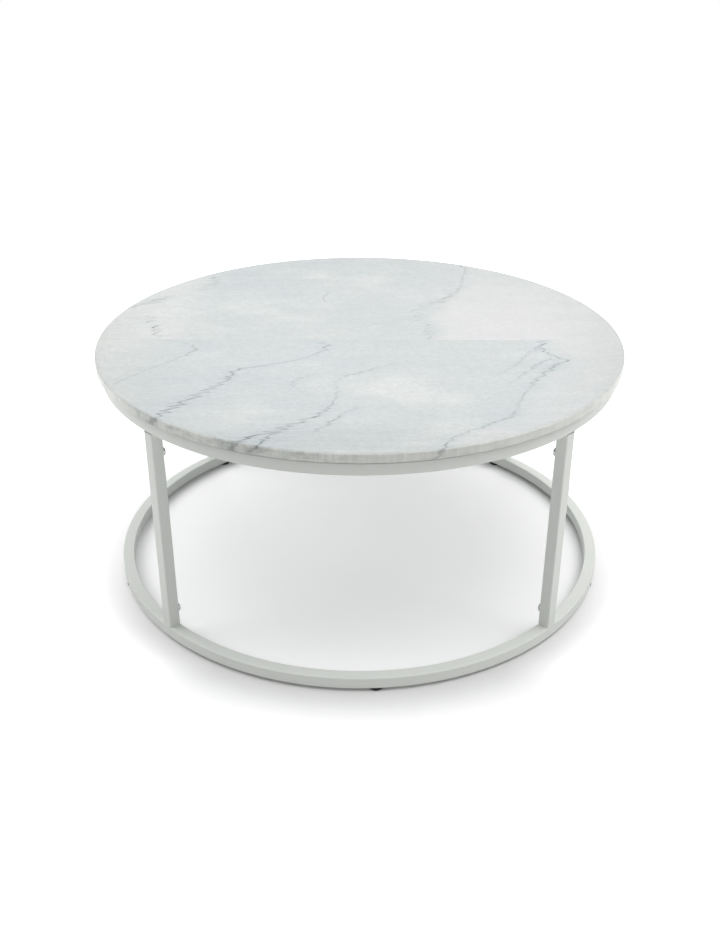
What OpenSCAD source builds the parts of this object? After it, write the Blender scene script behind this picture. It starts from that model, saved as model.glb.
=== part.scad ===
// Round coffee table: two marble slabs bonded into a disc, on a frame of two square-tube
// rings joined by four bolted legs, standing on five levelling feet.
// Millimetres, +Z up. The origin is on the floor, under the centre of the top.
// A bearing is an angle in degrees from the front centre (-Y), turning towards +X.

/* [Overall] */
// Height of the table, from the floor to the top surface
table_h = 420; // [320:5:600]
// Bearing of each front leg; the rear legs mirror the front ones
leg_bearing = 46; // [40:1:50]

/* [Marble top] */
// Diameter of the marble top
top_d = 900; // [890:5:1000]
// Thickness of the marble
top_t = 15; // [13:1:30]
// Distance of the joint between the slabs in front of the centre line
seam_offset = 26; // [0:2:60]
// Radius of the eased upper edge
top_edge_r = 3; // [1:0.5:6]
// Radius of the lower edge
top_lower_r = 1; // [0.5:0.5:3]

/* [Frame tube] */
// Outer diameter of both rings
ring_d = 884; // [800:4:888]
// Side of the square tube of the rings, the legs and the rail
tube = 20; // [19:0.5:24]
// Wall of the tube
tube_wall = 1.5; // [1:0.25:2]
// Outer corner radius of the tube
tube_corner_r = 2; // [1:0.5:3]

/* [Leg joints] */
// Gap on each side between a spigot and the inside of its leg
spigot_clear = 0.2; // [0.1:0.05:0.4]
// Wall of the spigots
spigot_wall = 1.5; // [1.25:0.25:1.75]
// Length of the spigots on the lower ring
lower_spigot_l = 45; // [38:1:70]
// Length of the spigots under the upper ring
upper_spigot_l = 58; // [50:1:80]
// Height of the lower bolts above the lower ring
lower_bolt_h = 27; // [20:1:30]
// Depth of the upper bolts below the upper ring
upper_bolt_h = 39; // [20:1:42]

/* [Leg bolts] */
// Nominal thread diameter of the leg bolts
bolt_d = 8; // [7:0.5:8.5]
// Length of a bolt under its head
bolt_l = 16; // [14:1:18]
// Diameter of the domed bolt head
bolt_head_d = 14; // [12:0.5:15]
// Height of the domed bolt head
bolt_head_h = 4.4; // [3.6:0.1:5.2]
// Straight rim below the dome of the head
bolt_rim_h = 1.1; // [0.6:0.1:1.5]
// Hexagon key size of the bolt
bolt_key = 5; // [4:0.5:5.5]
// Depth of the hexagon socket
bolt_key_depth = 2.6; // [1.8:0.1:3]
// Outer diameter of the flat washer
flat_washer_d = 15; // [13:0.5:16]
// Thickness of the flat washer
flat_washer_t = 1.6; // [1.2:0.1:2]
// Outer diameter of the spring washer
spring_washer_d = 14.8; // [12.8:0.2:15]
// Thickness of the spring washer
spring_washer_t = 2; // [1.6:0.1:2.4]
// Width of the split in the spring washer
spring_washer_split = 1.6; // [0.8:0.1:2]
// Width across flats of the weld nut in a spigot
weld_nut_flats = 12; // [11:0.25:12.25]
// Thickness of the weld nut
weld_nut_t = 6.5; // [5:0.5:7]
// Diameter of the nut's round seat
weld_nut_seat_d = 10.5; // [10:0.25:11]
// Height of that seat
weld_nut_seat_h = 0.5; // [0.4:0.1:0.8]
// Gap round a bolt shank in its hole
bolt_hole_clear = 0.3; // [0.2:0.05:0.5]
// Gap between a thread and its nut, with both drawn plain
thread_clear = 0.08; // [0.05:0.01:0.1]

/* [Top supports and fixings] */
// Thickness of the clear pads between frame and marble
pad_t = 4; // [2:0.5:6]
// Diameter of the pads
pad_d = 12; // [8:1:16]
// Distance of the outer rail pads from the middle of the rail
rail_pad_x = 260; // [120:10:360]
// Width of a fixing tab
tab_w = 24; // [20:1:32]
// Reach of a fixing tab, from the ring to its screw
tab_reach = 15; // [14:1:26]
// Thickness of a fixing tab
tab_t = 3; // [2:0.5:4]
// Depth of a tab's upper face below the top of the ring
tab_drop = 3; // [2:0.5:8]
// Nominal diameter of the tab screws
screw_d = 5; // [4:0.5:6]
// Length of thread that a screw has inside its insert
screw_grip = 7; // [5:0.5:8]
// Diameter of the screw head
screw_head_d = 9.5; // [8:0.5:12]
// Height of the screw head
screw_head_h = 3.2; // [2.4:0.2:4]
// Outer diameter of the threaded insert in the marble
insert_d = 8; // [7.5:0.5:10]
// Length of the threaded insert
insert_l = 9; // [9:0.5:10]
// Depth left free behind the insert
insert_relief = 0.5; // [0.5:0.5:1.5]

/* [Feet] */
// Bearing of the foot at the front
front_foot_bearing = 3.5; // [0:0.5:20]
// Bearing of the two feet at the sides
side_foot_bearing = 70; // [60:1:80]
// Bearing of the two feet at the rear
rear_foot_bearing = 137; // [120:1:150]
// Diameter of a foot's base
foot_d = 20; // [18:0.5:26]
// Height of a foot's base
foot_h = 4; // [3.9:0.1:8]
// Nominal thread diameter of a foot's stud
stud_d = 8; // [6:0.5:9]
// Distance that a foot can be screwed out
foot_travel = 8; // [4:0.5:9]
// Thread left in the nut with the foot screwed right out
stud_grip = 8; // [6:0.5:9]
// Diameter of the stud's round head inside the base
stud_head_d = 13; // [12:0.5:14]
// Thickness of the stud's head
stud_head_t = 1.6; // [1.2:0.1:1.8]
// Plastic under the stud's head
foot_floor_t = 1; // [0.8:0.1:1.4]
// Running gap between the stud's head and its pocket
pocket_clear = 0.1; // [0.05:0.01:0.15]
// Diameter of the flange of the nut in the ring
foot_nut_flange_d = 15; // [14:0.5:18]
// Thickness of that flange
foot_nut_flange_t = 1; // [0.8:0.1:1.5]
// Diameter of the nut's barrel
foot_nut_d = 11; // [11:0.1:12]
// Diameter of the collar that clamps the nut inside the tube
foot_nut_collar_d = 13.5; // [13:0.5:14.5]
// Height of that collar
foot_nut_collar_h = 3.5; // [2.5:0.5:5]
// Length of the nut below its flange's upper face
foot_nut_l = 14; // [10:0.5:15]

/* [Hidden] */

$fn = 96;
smooth_fn = 240;
eps = 0.01;
over = 1;

marble_colour = "#dfe3e4";
frame_colour = "#c9cdc8";
steel_colour = "#b4b7b6";
brass_colour = "#c7a75a";
pad_colour = "#e6ecec";
foot_colour = "#17181a";

// Heights of the stack, from the floor upwards
ring_gap = foot_h + foot_nut_flange_t;
leg_z = ring_gap + tube;
marble_z = table_h - top_t;
ring_top_z = marble_z - pad_t;
top_ring_z = ring_top_z - tube;
leg_l = top_ring_z - leg_z;

// Radii of the rings
ring_r = ring_d / 2;
ring_mid_r = ring_r - tube / 2;
ring_inner_r = ring_r - tube;

// Places round the table
rear_leg_bearing = 180 - leg_bearing;
leg_bearings = [leg_bearing, rear_leg_bearing, -rear_leg_bearing, -leg_bearing];
foot_bearings = [front_foot_bearing, side_foot_bearing, rear_foot_bearing,
                 -rear_foot_bearing, -side_foot_bearing];
tab_count = 6;
tab_bearings = [for (i = [0 : tab_count - 1]) i * 360 / tab_count];
ring_pad_bearings = [for (b = tab_bearings) b + 180 / tab_count];
lower_bolt_z = leg_z + lower_bolt_h;
upper_bolt_z = top_ring_z - upper_bolt_h;

// Fits inside the tube
spigot_side = tube - 2 * tube_wall - 2 * spigot_clear;
bolt_stack = flat_washer_t + spring_washer_t;
nut_seat = tube_wall + spigot_clear + spigot_wall;
bolt_hole_d = bolt_d + 2 * bolt_hole_clear;
tab_screw_r = ring_inner_r - tab_reach;
tab_top_z = ring_top_z - tab_drop;
screw_l = tab_t + tab_drop + pad_t + screw_grip;
stud_top = foot_h + foot_travel + stud_grip;
stud_hole_d = stud_d + 2 * thread_clear;
edge_soft = 0.6;

// A child drawn on the +X side, turned to a bearing
module at_bearing(bearing) {
    rotate([0, 0, bearing - 90]) children();
}

// A child drawn along +Z from the inner face of a leg, pointing outwards
module along_bolt(bearing, z) {
    at_bearing(bearing)
        translate([ring_mid_r - tube / 2, 0, z])
            rotate([0, 90, 0])
                children();
}

// Both ends of every leg, for what each bolt carries
module at_every_bolt() {
    for (bearing = leg_bearings, z = [lower_bolt_z, upper_bolt_z])
        along_bolt(bearing, z) children();
}

// Square with round corners, centred
module rounded_square(side, r) {
    square([side, side - 2 * r], center = true);
    square([side - 2 * r, side], center = true);
    for (x = [-1, 1], y = [-1, 1])
        translate([x * (side / 2 - r), y * (side / 2 - r)])
            circle(r, $fn = 48);
}

// Section of a square tube, centred
module tube_section(side, wall, corner_r) {
    difference() {
        rounded_square(side, corner_r);
        rounded_square(side - 2 * wall, max(corner_r - wall, wall / 3));
    }
}

module frame_section() {
    tube_section(tube, tube_wall, tube_corner_r);
}

// The whole disc with its eased rim, before it is parted into two slabs
module marble_disc() {
    r = top_d / 2;
    translate([0, 0, marble_z])
        rotate_extrude($fn = smooth_fn)
            union() {
                square([r - max(top_edge_r, top_lower_r), top_t]);
                translate([0, top_lower_r])
                    square([r, top_t - top_edge_r - top_lower_r]);
                translate([r - top_edge_r, top_t - top_edge_r])
                    circle(top_edge_r, $fn = 48);
                translate([r - top_lower_r, top_lower_r])
                    circle(top_lower_r, $fn = 48);
                square([r - top_lower_r, top_lower_r + eps]);
            }
}

// Blind holes for the threaded inserts
module insert_holes() {
    for (bearing = tab_bearings)
        at_bearing(bearing)
            translate([tab_screw_r, 0, marble_z - over])
                cylinder(d = insert_d, h = insert_l + insert_relief + over);
}

// The half space behind the joint between the slabs
module behind_seam() {
    translate([-top_d, -seam_offset, marble_z - over])
        cube([2 * top_d, top_d + seam_offset, top_t + 2 * over]);
}

module marble_rear_slab() {
    color(marble_colour)
        difference() {
            intersection() {
                marble_disc();
                behind_seam();
            }
            insert_holes();
        }
}

module marble_front_slab() {
    color(marble_colour)
        difference() {
            marble_disc();
            behind_seam();
            insert_holes();
        }
}

// A closed ring of square tube, with its underside at a height
module tube_ring(z) {
    translate([0, 0, z + tube / 2])
        rotate_extrude($fn = smooth_fn)
            translate([ring_mid_r, 0])
                frame_section();
}

module top_ring() {
    color(frame_colour) tube_ring(top_ring_z);
}

module bottom_ring() {
    color(frame_colour)
        difference() {
            tube_ring(ring_gap);
            for (bearing = foot_bearings)
                at_bearing(bearing)
                    translate([ring_mid_r, 0, ring_gap - over])
                        cylinder(d = foot_nut_d + 2 * thread_clear,
                                 h = over + tube / 2);
        }
}

// What lies within the inner face of the upper ring, so that ends are cut to its curve
module within_ring() {
    translate([0, 0, top_ring_z - over])
        cylinder(r = ring_inner_r, h = tube + 2 * over, $fn = smooth_fn);
}

module cross_rail() {
    color(frame_colour)
        intersection() {
            translate([0, -seam_offset, top_ring_z + tube / 2])
                rotate([90, 0, 90])
                    linear_extrude(ring_d, center = true)
                        frame_section();
            within_ring();
        }
}

// Tongues welded inside the upper ring, each with a hole for a screw
module fixing_tabs() {
    color(frame_colour)
        intersection() {
            for (bearing = tab_bearings)
                at_bearing(bearing)
                    translate([tab_screw_r, 0, tab_top_z - tab_t])
                        linear_extrude(tab_t)
                            difference() {
                                union() {
                                    circle(d = tab_w);
                                    translate([0, -tab_w / 2])
                                        square([tab_reach + tube, tab_w]);
                                }
                                circle(d = screw_d + 2 * bolt_hole_clear);
                            }
            within_ring();
        }
}

// One leg: a tube with a bolt hole near each end of its inner face
module leg(bearing) {
    color(frame_colour)
        difference() {
            at_bearing(bearing)
                translate([ring_mid_r, 0, leg_z])
                    linear_extrude(leg_l)
                        frame_section();
            for (z = [lower_bolt_z, upper_bolt_z])
                along_bolt(bearing, z)
                    translate([0, 0, -over])
                        cylinder(d = bolt_hole_d, h = over + tube / 2);
        }
}

// Four spigots welded to a ring, each with a bolt hole; z is their lower end
module spigots(z, length, bolt_z) {
    color(frame_colour)
        for (bearing = leg_bearings)
            difference() {
                at_bearing(bearing)
                    translate([ring_mid_r, 0, z])
                        linear_extrude(length)
                            tube_section(spigot_side, spigot_wall, tube_corner_r);
                along_bolt(bearing, bolt_z)
                    cylinder(d = bolt_hole_d, h = tube / 2);
            }
}

module lower_spigots() {
    spigots(leg_z, lower_spigot_l, lower_bolt_z);
}

module upper_spigots() {
    spigots(top_ring_z - upper_spigot_l, upper_spigot_l, upper_bolt_z);
}

// Hexagon nuts on round seats, welded inside the spigots
module weld_nuts(bolt_z) {
    color(steel_colour)
        for (bearing = leg_bearings)
            along_bolt(bearing, bolt_z)
                translate([0, 0, nut_seat])
                    difference() {
                        union() {
                            cylinder(d = weld_nut_seat_d, h = weld_nut_t / 2);
                            translate([0, 0, weld_nut_seat_h])
                                cylinder(d = weld_nut_flats / cos(30),
                                         h = weld_nut_t - weld_nut_seat_h, $fn = 6);
                        }
                        translate([0, 0, -over])
                            cylinder(d = bolt_d + 2 * thread_clear,
                                     h = weld_nut_t + 2 * over);
                    }
}

module lower_weld_nuts() {
    weld_nuts(lower_bolt_z);
}

module upper_weld_nuts() {
    weld_nuts(upper_bolt_z);
}

// A domed bolt head on its shank, drawn with its seat at z = 0 and its shank upwards
module domed_bolt() {
    dome_h = bolt_head_h - bolt_rim_h;
    dome_r = (pow(bolt_head_d / 2, 2) + pow(dome_h, 2)) / (2 * dome_h);
    difference() {
        intersection() {
            translate([0, 0, -bolt_head_h])
                cylinder(d = bolt_head_d, h = bolt_head_h);
            translate([0, 0, dome_r - bolt_head_h])
                sphere(dome_r);
        }
        translate([0, 0, -bolt_head_h - over])
            cylinder(d = bolt_key / cos(30), h = bolt_key_depth + over, $fn = 6);
    }
    cylinder(d = bolt_d, h = bolt_l);
}

module leg_bolts(bolt_z) {
    color(frame_colour)
        for (bearing = leg_bearings)
            along_bolt(bearing, bolt_z)
                translate([0, 0, -bolt_stack])
                    domed_bolt();
}

module lower_leg_bolts() {
    leg_bolts(lower_bolt_z);
}

module upper_leg_bolts() {
    leg_bolts(upper_bolt_z);
}

// Plain round washer on z = 0
module washer(outer_d, thickness) {
    difference() {
        cylinder(d = outer_d, h = thickness);
        translate([0, 0, -over])
            cylinder(d = bolt_hole_d, h = thickness + 2 * over);
    }
}

module flat_washers() {
    color(steel_colour)
        at_every_bolt()
            translate([0, 0, -flat_washer_t])
                washer(flat_washer_d, flat_washer_t);
}

module spring_washers() {
    color(steel_colour)
        at_every_bolt()
            translate([0, 0, -bolt_stack])
                difference() {
                    washer(spring_washer_d, spring_washer_t);
                    translate([0, -spring_washer_split / 2, -over])
                        cube([spring_washer_d, spring_washer_split,
                              spring_washer_t + 2 * over]);
                }
}

// Threaded inserts bonded into the underside of the marble
module marble_inserts() {
    color(brass_colour)
        for (bearing = tab_bearings)
            at_bearing(bearing)
                translate([tab_screw_r, 0, marble_z])
                    difference() {
                        cylinder(d = insert_d, h = insert_l);
                        translate([0, 0, -over])
                            cylinder(d = screw_d + 2 * thread_clear,
                                     h = insert_l + 2 * over);
                    }
}

// Screws up through the tabs into the inserts
module tab_screws() {
    color(steel_colour)
        for (bearing = tab_bearings)
            at_bearing(bearing)
                translate([tab_screw_r, 0, tab_top_z - tab_t]) {
                    cylinder(d = screw_d, h = screw_l);
                    translate([0, 0, -screw_head_h])
                        rotate_extrude()
                            union() {
                                square([screw_head_d / 2 - edge_soft, screw_head_h]);
                                translate([0, edge_soft])
                                    square([screw_head_d / 2,
                                            screw_head_h - edge_soft]);
                                translate([screw_head_d / 2 - edge_soft, edge_soft])
                                    circle(edge_soft, $fn = 32);
                            }
                }
}

// A clear pad standing on z = 0
module pad() {
    cylinder(d = pad_d, h = pad_t);
}

module ring_pads() {
    color(pad_colour)
        for (bearing = ring_pad_bearings)
            at_bearing(bearing)
                translate([ring_mid_r, 0, ring_top_z])
                    pad();
}

module rail_pads() {
    color(pad_colour)
        for (x = [-rail_pad_x, 0, rail_pad_x])
            translate([x, -seam_offset, ring_top_z])
                pad();
}

// Flanged nut set in the underside of the lower ring
module foot_nut() {
    inside_z = foot_nut_flange_t + tube_wall;
    difference() {
        union() {
            cylinder(d = foot_nut_flange_d, h = foot_nut_flange_t);
            cylinder(d = foot_nut_d, h = foot_nut_l);
            translate([0, 0, inside_z])
                cylinder(d = foot_nut_collar_d, h = foot_nut_collar_h);
        }
        translate([0, 0, -over])
            cylinder(d = stud_hole_d, h = foot_nut_l + 2 * over);
    }
}

module foot_nuts() {
    color(steel_colour)
        for (bearing = foot_bearings)
            at_bearing(bearing)
                translate([ring_mid_r, 0, foot_h])
                    foot_nut();
}

// Moulded base with a pocket that holds the stud's head and lets it turn
module foot_base(bearing) {
    pocket_h = stud_head_t + 2 * pocket_clear;
    color(foot_colour)
        at_bearing(bearing)
            translate([ring_mid_r, 0, 0])
                difference() {
                    rotate_extrude()
                        union() {
                            square([foot_d / 2 - edge_soft, foot_h]);
                            translate([0, edge_soft])
                                square([foot_d / 2, foot_h - 2 * edge_soft]);
                            for (z = [edge_soft, foot_h - edge_soft])
                                translate([foot_d / 2 - edge_soft, z])
                                    circle(edge_soft, $fn = 32);
                        }
                    translate([0, 0, foot_floor_t])
                        cylinder(d = stud_head_d + 2 * pocket_clear, h = pocket_h);
                    translate([0, 0, foot_floor_t + pocket_h - eps])
                        cylinder(d = stud_hole_d, h = foot_h);
                }
}

// Threaded stud with a round head
module foot_stud(bearing) {
    shank_z = foot_floor_t + pocket_clear;
    color(steel_colour)
        at_bearing(bearing)
            translate([ring_mid_r, 0, shank_z]) {
                cylinder(d = stud_head_d, h = stud_head_t);
                cylinder(d = stud_d, h = stud_top - shank_z);
            }
}

marble_rear_slab();
marble_front_slab();
top_ring();
cross_rail();
fixing_tabs();
upper_spigots();
leg(-leg_bearing);  // leg_front_left
leg(leg_bearing);  // leg_front_right
leg(-rear_leg_bearing);  // leg_rear_left
leg(rear_leg_bearing);  // leg_rear_right
bottom_ring();
lower_spigots();
upper_weld_nuts();
lower_weld_nuts();
upper_leg_bolts();
lower_leg_bolts();
spring_washers();
flat_washers();
marble_inserts();
tab_screws();
ring_pads();
rail_pads();
foot_nuts();
foot_base(front_foot_bearing);  // foot_front_base
foot_stud(front_foot_bearing);  // foot_front_stud
foot_base(side_foot_bearing);  // foot_right_base
foot_stud(side_foot_bearing);  // foot_right_stud
foot_base(-side_foot_bearing);  // foot_left_base
foot_stud(-side_foot_bearing);  // foot_left_stud
foot_base(rear_foot_bearing);  // foot_rear_right_base
foot_stud(rear_foot_bearing);  // foot_rear_right_stud
foot_base(-rear_foot_bearing);  // foot_rear_left_base
foot_stud(-rear_foot_bearing);  // foot_rear_left_stud
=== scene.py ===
from functools import reduce
from math import asin, cos, degrees, hypot, pi, radians, sin, tau

import bmesh
import bpy
from mathutils import Matrix, Vector


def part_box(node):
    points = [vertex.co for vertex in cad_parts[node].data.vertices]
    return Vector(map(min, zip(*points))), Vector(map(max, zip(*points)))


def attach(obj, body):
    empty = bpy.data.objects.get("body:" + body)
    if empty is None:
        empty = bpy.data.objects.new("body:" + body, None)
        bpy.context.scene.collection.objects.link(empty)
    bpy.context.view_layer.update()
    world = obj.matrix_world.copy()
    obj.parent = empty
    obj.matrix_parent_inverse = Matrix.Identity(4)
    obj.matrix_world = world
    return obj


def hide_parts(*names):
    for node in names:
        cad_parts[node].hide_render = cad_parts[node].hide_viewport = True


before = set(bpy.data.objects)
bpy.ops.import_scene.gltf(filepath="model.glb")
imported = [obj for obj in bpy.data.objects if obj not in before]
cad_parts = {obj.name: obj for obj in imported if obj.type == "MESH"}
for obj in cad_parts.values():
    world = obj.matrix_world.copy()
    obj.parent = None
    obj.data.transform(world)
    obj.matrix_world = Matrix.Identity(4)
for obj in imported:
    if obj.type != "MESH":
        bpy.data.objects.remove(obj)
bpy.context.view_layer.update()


# The camera stands 2 m from the table and looks 28 degrees down on it, through a 41 mm lens.
# It is turned a trace about its own axis, as a hand-set tripod head is.
camera_place = (0.0009, -1.7396, 1.0898)
camera_tilt = radians(62.01)
camera_roll = radians(0.08)
camera_lens = 41.37

stage_scene = bpy.context.scene
stage_scene.view_settings.view_transform = "Standard"
camera_data = bpy.data.cameras.new("camera")
camera_data.sensor_width = 36
camera_data.lens = camera_lens
camera = bpy.data.objects.new("camera", camera_data)
aim = Matrix.Rotation(camera_tilt, 4, "X") @ Matrix.Rotation(camera_roll, 4, "Z")
camera.matrix_world = Matrix.Translation(camera_place) @ aim
stage_scene.collection.objects.link(camera)
stage_scene.camera = camera


# The studio: a white paper floor and a pale sky, with a large softbox high on each side and a smaller one
# high behind and in front. The floor shows as white away from the table. Near it the table casts its real
# shadow, and the floor's glow is also turned down, under the table and along the lower ring, as painted
# shade, with a painted tilt from left to right and a painted lighter middle.
floor_half = 6.0
floor_white = (0.80, 0.80, 0.80, 1)
# How far the floor glows under the table, as painted shade, with a painted left-to-right tilt and lighter
# middle
glow_under, glow_slope, glow_heart = 0.32, 0.11, 0.07
# How deep the painted shadows just inside and just outside the lower ring are, deeper behind and in front
shade_inside, shade_behind, shade_beside, shade_in_front = 0.14, 0.18, 0.08, 0.27
sky_level = 0.32
lamp_aim = (0, 0, 0.25)

# Over which distances from the table's middle, or over which Y, each part of the floor's painted shade comes
away_rise, heart_rise = (0.425, 0.62), (0.30, 0.0)
inner_rise, inner_fall = (0.382, 0.422), (0.445, 0.43)
outer_rise, outer_fall = (0.43, 0.44), (0.525, 0.43)
behind_rise, front_rise = (-0.15, 0.2), (0.0, -0.45)
shift_rise, front_shift = (-0.36, -0.46), 0.07

lamps = {
    # name: (place, size across, size up, watts)
    "right_softbox": ((1.45, -0.35, 2.55), 1.8, 1.8, 39),
    "left_softbox": ((-1.8, 0.0, 2.2), 1.8, 1.8, 26),
    "back_softbox": ((0.0, 2.2, 1.9), 2.0, 1.4, 16),
    "front_softbox": ((0.4, -2.0, 2.2), 2.0, 1.2, 6),
}


class Wire:
    """The output of a node. Operators on it add Math nodes, and node() adds any other node."""

    def __init__(self, tree, socket=None):
        self.tree, self.socket = tree, socket

    def __getitem__(self, name):
        return Wire(self.tree, self.socket.node.outputs[name])

    def node(self, kind, settings=(), inputs=()):
        """A new node of this kind: its settings are made first, and then its inputs set or joined."""
        made = self.tree.nodes.new(kind)
        for name, value in dict(settings).items():
            if name == "curve":
                points = made.mapping.curves[0].points
                for _ in value[2:]:
                    points.new(0.5, 0.5)
                for point, spot in zip(points, sorted(value)):
                    point.location, point.handle_type = spot, "AUTO"
                made.mapping.extend = "HORIZONTAL"
                made.mapping.update()
            else:
                setattr(made, name, value)
        for name, value in dict(inputs).items():
            if not isinstance(value, (Wire, list)):
                made.inputs[name].default_value = value
                continue
            for one in value if isinstance(value, list) else [value]:
                self.tree.links.new(one.socket, made.inputs[name])
        return Wire(self.tree, made.outputs[0] if made.outputs else None)

    def maths(self, operation, *values):
        """A Math node on these numbers or wires."""
        return self.node("ShaderNodeMath", {"operation": operation}, enumerate(values))

    def __add__(self, other):
        return self.maths("ADD", self, other)

    def __sub__(self, other):
        return self.maths("SUBTRACT", self, other)

    def __rsub__(self, other):
        return self.maths("SUBTRACT", other, self)

    def __mul__(self, other):
        return self.maths("MULTIPLY", self, other)

    def __truediv__(self, other):
        return self.maths("DIVIDE", self, other)

    def __pow__(self, other):
        return self.maths("POWER", self, other)

    def __abs__(self):
        return self.maths("ABSOLUTE", self)

    __radd__, __rmul__ = __add__, __mul__

    def step(self, low, high):
        """0 below low and 1 above high, with a smooth rise between, or the reverse if low is above high."""
        sizes = {"Value": self, "From Min": low, "From Max": high}
        return self.node("ShaderNodeMapRange", {"interpolation_type": "SMOOTHSTEP"}, sizes)

    def most(self, other):
        """The larger of this and the other."""
        return self.maths("MAXIMUM", self, other)

    def least(self, other):
        """The smaller of this and the other."""
        return self.maths("MINIMUM", self, other)

    def distance(self, other=(0, 0, 0)):
        """How far this point is from the other."""
        ends = {0: self, 1: other}
        return self.node("ShaderNodeVectorMath", {"operation": "DISTANCE"}, ends)["Value"]

    def mix(self, first, second):
        """One colour where this mask is 0 and the other where it is 1."""
        return self.node("ShaderNodeMix", {"data_type": "RGBA"}, {0: self, 6: first, 7: second})[2]


def new_tree(owner):
    """A wire of the tree of a material or a world, emptied."""
    owner.use_nodes = True
    owner.node_tree.nodes.clear()
    return Wire(owner.node_tree)


def new_material(name):
    """A new material, and the wire of each point's place on its object."""
    material = bpy.data.materials.new(name)
    return material, new_tree(material).node("ShaderNodeTexCoord")["Object"]


def white_rays(wire):
    """1 for the rays that show the studio as white: the camera's, reflected and refracted ones."""
    path = wire.node("ShaderNodeLightPath")
    return path["Is Camera Ray"].most(path["Is Glossy Ray"]).most(path["Is Transmission Ray"])


def studio_floor():
    """White paper that spreads light evenly and shows as full white away from the table."""
    paper, place = new_material("floor_paper")
    axes = place.node("ShaderNodeSeparateXYZ", (), {0: place})
    x, y, reach = axes["X"], axes["Y"], place.distance()
    # Painted shade: the glow is lower under the table, tilted from left to right and lighter in the middle,
    # and lower still in painted shadow bands just inside the lower ring and just outside it
    under = glow_under - x * glow_slope + reach.step(*heart_rise) * glow_heart
    inside = reach.step(*inner_rise) * reach.step(*inner_fall)
    painted_shade_beside = reach.step(*outer_rise) * reach.step(*outer_fall)
    inside = inside * (y.step(*behind_rise) * shade_behind + shade_inside)
    painted_shade_beside = painted_shade_beside * (y.step(*front_rise) * shade_in_front + shade_beside)
    away = (reach - y.step(*shift_rise) * front_shift).step(*away_rise)
    level = (under * (1 - away) + away - inside - painted_shade_beside).most(0.0)
    glow = level.node("ShaderNodeEmission", (), {"Strength": level * white_rays(level)})
    matt = level.node("ShaderNodeBsdfDiffuse", (), {"Color": floor_white})
    both = level.node("ShaderNodeAddShader", (), {0: glow, 1: matt})
    level.node("ShaderNodeOutputMaterial", (), {"Surface": both})
    sides = ((-1, -1), (1, -1), (1, 1), (-1, 1))
    corners = [(across * floor_half, deep * floor_half, 0) for across, deep in sides]
    mesh = bpy.data.meshes.new("floor")
    mesh.from_pydata(corners, [], [(0, 1, 2, 3)])
    mesh.materials.append(paper)
    floor = bpy.data.objects.new("floor", mesh)
    stage_scene.collection.objects.link(floor)


def studio_sky():
    """White to the eye, and a softer level as a light."""
    world = bpy.data.worlds.new("sky")
    wire = new_tree(world)
    level = sky_level + white_rays(wire) * (1 - sky_level)
    sky = wire.node("ShaderNodeBackground", (), {"Color": (1, 1, 1, 1), "Strength": level})
    wire.node("ShaderNodeOutputWorld", (), {"Surface": sky})
    stage_scene.world = world


def lamp(name, place, across, up, watts):
    """A rectangular softbox aimed at the middle of the table."""
    light = bpy.data.lights.new(name, "AREA")
    light.shape, light.size, light.size_y, light.energy = "RECTANGLE", across, up, watts
    stand = bpy.data.objects.new(name, light)
    aim_at = Vector(lamp_aim) - Vector(place)
    stand.matrix_world = Matrix.Translation(place) @ aim_at.to_track_quat("-Z", "Y").to_matrix().to_4x4()
    stage_scene.collection.objects.link(stand)


studio_floor()
studio_sky()
for lamp_name, lamp_sizes in lamps.items():
    lamp(lamp_name, *lamp_sizes)


# The top: two slabs of honed white marble 15 mm thick, cut from one block and laid edge to edge. Each is
# sawn to a part of one disc, its rim rounded over by hand and its underside drilled for the inserts.
top_low, top_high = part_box("marble_front_slab")
seam_y = top_high.y
top_radius = -top_low.y
top_z, under_z = top_high.z, top_low.z
upper_round, lower_round, arris = 0.003, 0.001, 0.00025
rim_steps, round_steps, round_sides, cut_gap = 512, 8, 48, 1e-7
insert_bearings = range(0, 360, 60)
insert_radius, insert_hole, insert_depth = 0.407, 0.004, 0.0095


def point_at(bearing, radius, z=0.0):
    """A point at a bearing, in degrees from the front towards the right."""
    return Vector((radius * sin(radians(bearing)), -radius * cos(radians(bearing)), z))


def mesh_piece(name, shape, smooth=True):
    """A new object with this bmesh as its mesh, at the origin."""
    mesh = bpy.data.meshes.new(name)
    shape.to_mesh(mesh)
    shape.free()
    if smooth:
        mesh.shade_smooth()
    piece = bpy.data.objects.new(name, mesh)
    stage_scene.collection.objects.link(piece)
    return piece


def turned(profile, steps):
    """A closed bmesh turned about Z from a profile of (radius, z) points, from its lower end up."""
    shape = bmesh.new()
    rows = []
    for radius, z in profile:
        if radius == 0:
            rows.append([shape.verts.new((0, 0, z))] * steps)
        else:
            rows.append([shape.verts.new(point_at(360 * k / steps, radius, z)) for k in range(steps)])
    for low, high in zip(rows, rows[1:]):
        for k in range(steps):
            ring = [low[k], low[(k + 1) % steps], high[(k + 1) % steps], high[k]]
            shape.faces.new(dict.fromkeys(ring))
    for row, turn in ((rows[0], -1), (rows[-1], 1)):
        if row[0] is not row[1]:
            shape.faces.new(row[::turn])
    return shape


def corner(centre_radius, centre_z, size, first, last, steps):
    """Points of a profile's round corner, between two angles above the level, in degrees."""
    angles = [radians(first + (last - first) * k / steps) for k in range(steps + 1)]
    return [(centre_radius + size * cos(a), centre_z + size * sin(a)) for a in angles]


def solid_mesh(piece):
    """Applies a piece's modifiers and takes them off it."""
    graph = bpy.context.evaluated_depsgraph_get()
    whole = bpy.data.meshes.new_from_object(piece.evaluated_get(graph), depsgraph=graph)
    piece.modifiers.clear()
    piece.data = whole
    return piece


def paint(piece, material):
    """Gives a piece this one material."""
    piece.data.materials.clear()
    piece.data.materials.append(material)


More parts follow.
